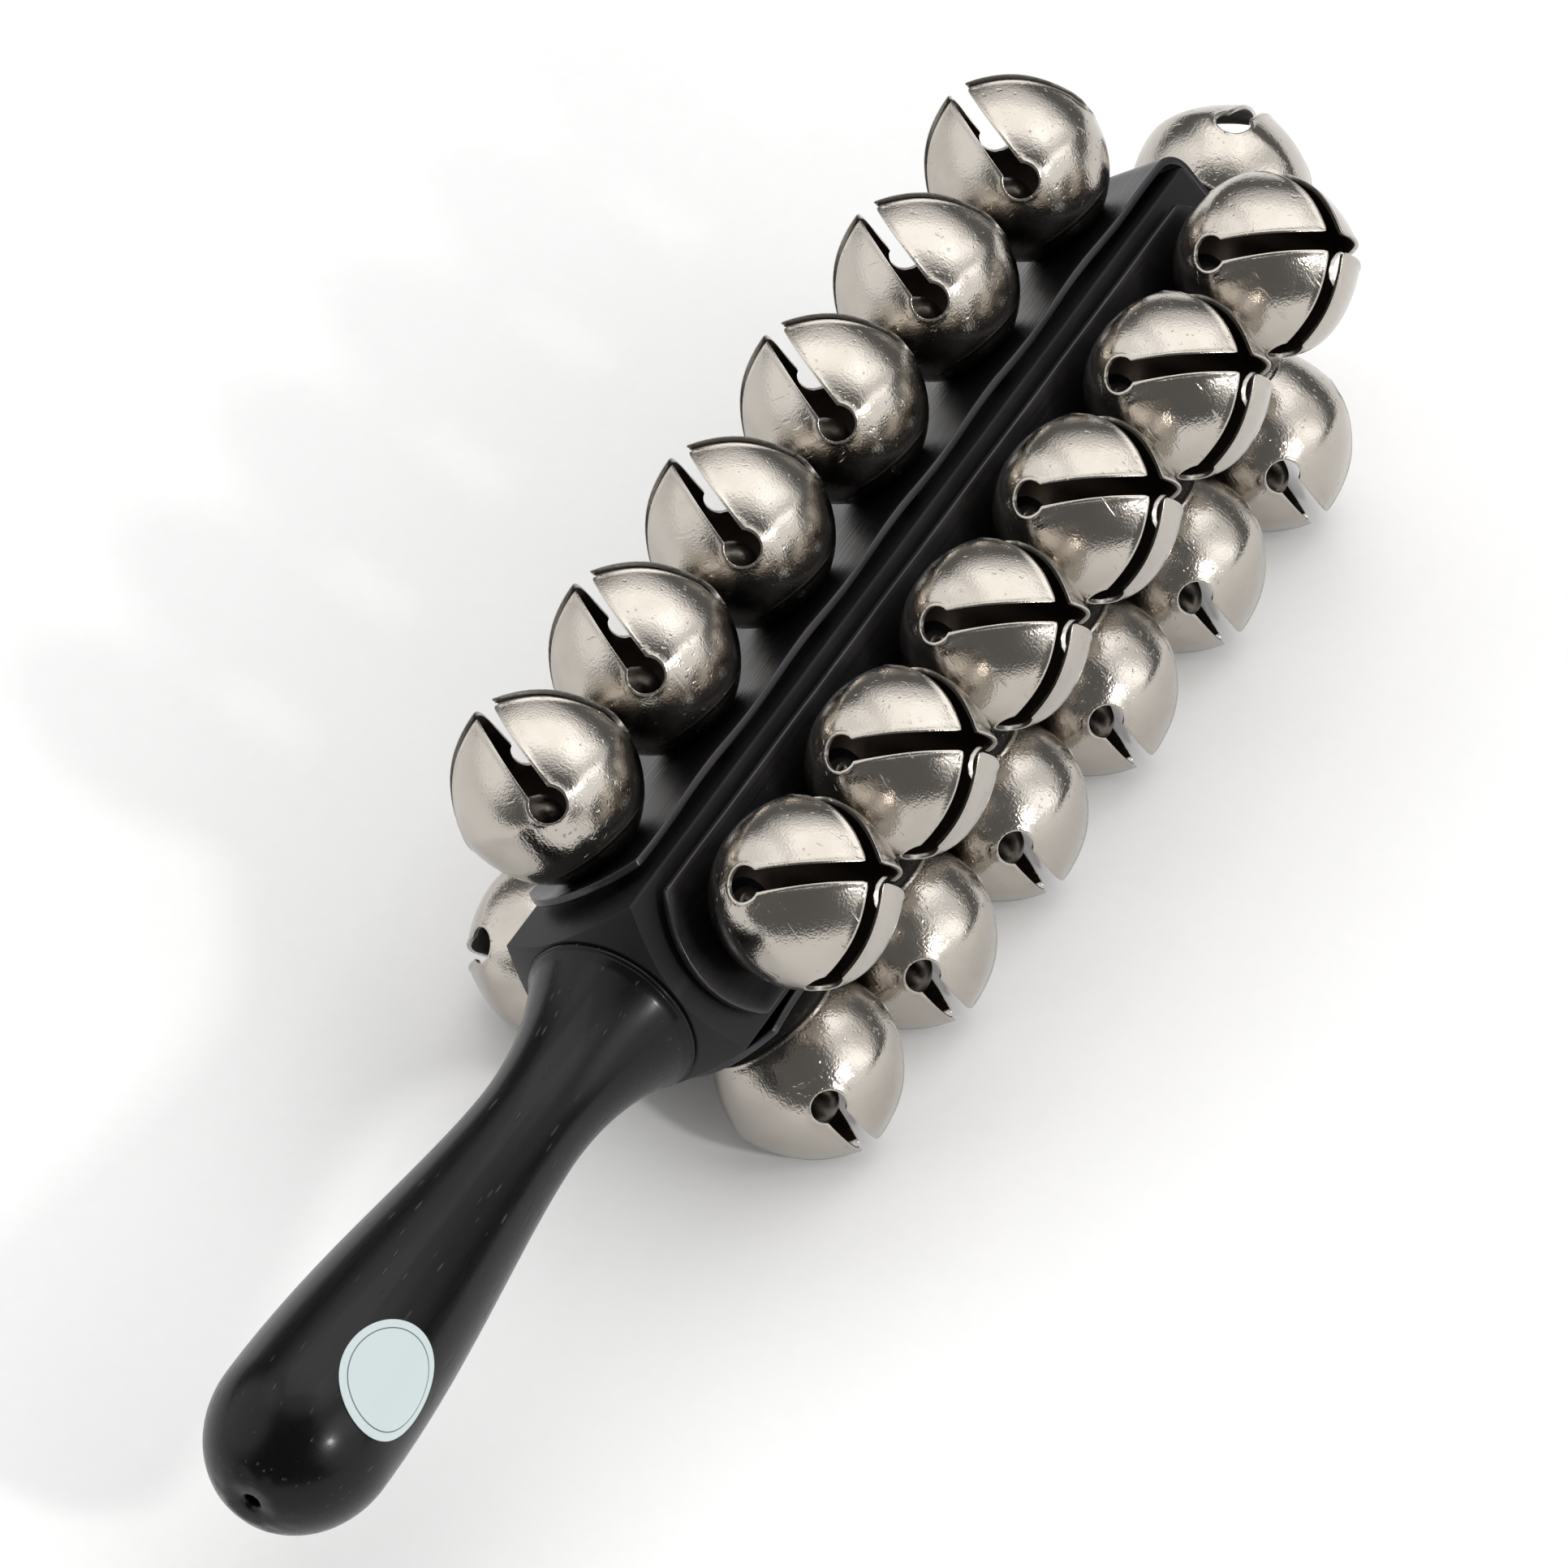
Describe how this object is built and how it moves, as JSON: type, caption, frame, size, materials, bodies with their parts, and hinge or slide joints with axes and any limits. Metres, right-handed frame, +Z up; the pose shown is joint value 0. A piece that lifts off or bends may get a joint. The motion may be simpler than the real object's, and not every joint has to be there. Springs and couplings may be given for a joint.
{
  "type": "sleigh bells",
  "caption": "Hand-held sleigh bells: a turned black wooden handle and square head with metal strips that carry rows of slotted round jingle bells, each with a loose pellet.",
  "frame": {"origin": "centre of the bounding box in plan, at the level of the surface the bells lie on", "axes": "+X along the stick from the handle's butt to the end bell, +Z up with the stick lying on two rows of bells, +Y completes the right-handed frame"},
  "size_m": [0.3062, 0.0678, 0.0677],
  "materials": {
    "handle_wood": "black stained open-pore hardwood, satin lacquer",
    "head_wood": "black stained wood, matte",
    "strip_metal": "satin black over lengthwise brushing",
    "bell_nickel": "bright nickel plate with fine drawing lines",
    "pellet_steel": "dull tumbled steel",
    "label_film": "matt pale blue-grey film"
  },
  "bodies": {
    "stick": {"handle": "handle_wood", "label": "label_film", "head_block": "head_wood", "u_strip": "strip_metal", "side_strip_2": "strip_metal", "side_strip_4": "strip_metal", "bell_row1_1": "bell_nickel", "bell_row1_2": "bell_nickel", "bell_row1_3": "bell_nickel", "bell_row1_4": "bell_nickel", "bell_row1_5": "bell_nickel", "bell_row1_6": "bell_nickel", "bell_row2_1": "bell_nickel", "bell_row2_2": "bell_nickel", "bell_row2_3": "bell_nickel", "bell_row2_4": "bell_nickel", "bell_row2_5": "bell_nickel", "bell_row2_6": "bell_nickel", "bell_row3_1": "bell_nickel", "bell_row3_2": "bell_nickel", "bell_row3_3": "bell_nickel", "bell_row3_4": "bell_nickel", "bell_row3_5": "bell_nickel", "bell_row3_6": "bell_nickel", "bell_row4_1": "bell_nickel", "bell_row4_2": "bell_nickel", "bell_row4_3": "bell_nickel", "bell_row4_4": "bell_nickel", "bell_row4_5": "bell_nickel", "bell_row4_6": "bell_nickel", "bell_end": "bell_nickel"},
    "pellet_row1_1": {"pellet_row1_1": "pellet_steel"},
    "pellet_row1_2": {"pellet_row1_2": "pellet_steel"},
    "pellet_row1_3": {"pellet_row1_3": "pellet_steel"},
    "pellet_row1_4": {"pellet_row1_4": "pellet_steel"},
    "pellet_row1_5": {"pellet_row1_5": "pellet_steel"},
    "pellet_row1_6": {"pellet_row1_6": "pellet_steel"},
    "pellet_row2_1": {"pellet_row2_1": "pellet_steel"},
    "pellet_row2_2": {"pellet_row2_2": "pellet_steel"},
    "pellet_row2_3": {"pellet_row2_3": "pellet_steel"},
    "pellet_row2_4": {"pellet_row2_4": "pellet_steel"},
    "pellet_row2_5": {"pellet_row2_5": "pellet_steel"},
    "pellet_row2_6": {"pellet_row2_6": "pellet_steel"},
    "pellet_row3_1": {"pellet_row3_1": "pellet_steel"},
    "pellet_row3_2": {"pellet_row3_2": "pellet_steel"},
    "pellet_row3_3": {"pellet_row3_3": "pellet_steel"},
    "pellet_row3_4": {"pellet_row3_4": "pellet_steel"},
    "pellet_row3_5": {"pellet_row3_5": "pellet_steel"},
    "pellet_row3_6": {"pellet_row3_6": "pellet_steel"},
    "pellet_row4_1": {"pellet_row4_1": "pellet_steel"},
    "pellet_row4_2": {"pellet_row4_2": "pellet_steel"},
    "pellet_row4_3": {"pellet_row4_3": "pellet_steel"},
    "pellet_row4_4": {"pellet_row4_4": "pellet_steel"},
    "pellet_row4_5": {"pellet_row4_5": "pellet_steel"},
    "pellet_row4_6": {"pellet_row4_6": "pellet_steel"},
    "pellet_end": {"pellet_end": "pellet_steel"}
  },
  "joints": [
    {"name": "pellet_row1_1_rattle", "type": "slide", "parent": "stick", "child": "pellet_row1_1", "axis": [0, 0, 1], "range_m": [0, 0.0158]},
    {"name": "pellet_row1_2_rattle", "type": "slide", "parent": "stick", "child": "pellet_row1_2", "axis": [0, 0, 1], "range_m": [0, 0.0158]},
    {"name": "pellet_row1_3_rattle", "type": "slide", "parent": "stick", "child": "pellet_row1_3", "axis": [0, 0, 1], "range_m": [0, 0.0158]},
    {"name": "pellet_row1_4_rattle", "type": "slide", "parent": "stick", "child": "pellet_row1_4", "axis": [0, 0, 1], "range_m": [0, 0.0158]},
    {"name": "pellet_row1_5_rattle", "type": "slide", "parent": "stick", "child": "pellet_row1_5", "axis": [0, 0, 1], "range_m": [0, 0.0158]},
    {"name": "pellet_row1_6_rattle", "type": "slide", "parent": "stick", "child": "pellet_row1_6", "axis": [0, 0, 1], "range_m": [0, 0.0158]},
    {"name": "pellet_row2_1_rattle", "type": "slide", "parent": "stick", "child": "pellet_row2_1", "axis": [0, 0, 1], "range_m": [0, 0.0158]},
    {"name": "pellet_row2_2_rattle", "type": "slide", "parent": "stick", "child": "pellet_row2_2", "axis": [0, 0, 1], "range_m": [0, 0.0158]},
    {"name": "pellet_row2_3_rattle", "type": "slide", "parent": "stick", "child": "pellet_row2_3", "axis": [0, 0, 1], "range_m": [0, 0.0158]},
    {"name": "pellet_row2_4_rattle", "type": "slide", "parent": "stick", "child": "pellet_row2_4", "axis": [0, 0, 1], "range_m": [0, 0.0158]},
    {"name": "pellet_row2_5_rattle", "type": "slide", "parent": "stick", "child": "pellet_row2_5", "axis": [0, 0, 1], "range_m": [0, 0.0158]},
    {"name": "pellet_row2_6_rattle", "type": "slide", "parent": "stick", "child": "pellet_row2_6", "axis": [0, 0, 1], "range_m": [0, 0.0158]},
    {"name": "pellet_row3_1_rattle", "type": "slide", "parent": "stick", "child": "pellet_row3_1", "axis": [0, 0, 1], "range_m": [0, 0.0157]},
    {"name": "pellet_row3_2_rattle", "type": "slide", "parent": "stick", "child": "pellet_row3_2", "axis": [0, 0, 1], "range_m": [0, 0.0157]},
    {"name": "pellet_row3_3_rattle", "type": "slide", "parent": "stick", "child": "pellet_row3_3", "axis": [0, 0, 1], "range_m": [0, 0.0157]},
    {"name": "pellet_row3_4_rattle", "type": "slide", "parent": "stick", "child": "pellet_row3_4", "axis": [0, 0, 1], "range_m": [0, 0.0157]},
    {"name": "pellet_row3_5_rattle", "type": "slide", "parent": "stick", "child": "pellet_row3_5", "axis": [0, 0, 1], "range_m": [0, 0.0157]},
    {"name": "pellet_row3_6_rattle", "type": "slide", "parent": "stick", "child": "pellet_row3_6", "axis": [0, 0, 1], "range_m": [0, 0.0157]},
    {"name": "pellet_row4_1_rattle", "type": "slide", "parent": "stick", "child": "pellet_row4_1", "axis": [0, 0, 1], "range_m": [0, 0.0157]},
    {"name": "pellet_row4_2_rattle", "type": "slide", "parent": "stick", "child": "pellet_row4_2", "axis": [0, 0, 1], "range_m": [0, 0.0157]},
    {"name": "pellet_row4_3_rattle", "type": "slide", "parent": "stick", "child": "pellet_row4_3", "axis": [0, 0, 1], "range_m": [0, 0.0157]},
    {"name": "pellet_row4_4_rattle", "type": "slide", "parent": "stick", "child": "pellet_row4_4", "axis": [0, 0, 1], "range_m": [0, 0.0157]},
    {"name": "pellet_row4_5_rattle", "type": "slide", "parent": "stick", "child": "pellet_row4_5", "axis": [0, 0, 1], "range_m": [0, 0.0157]},
    {"name": "pellet_row4_6_rattle", "type": "slide", "parent": "stick", "child": "pellet_row4_6", "axis": [0, 0, 1], "range_m": [0, 0.0157]},
    {"name": "pellet_end_rattle", "type": "slide", "parent": "stick", "child": "pellet_end", "axis": [0, 0, 1], "range_m": [0, 0.0158]}
  ]
}
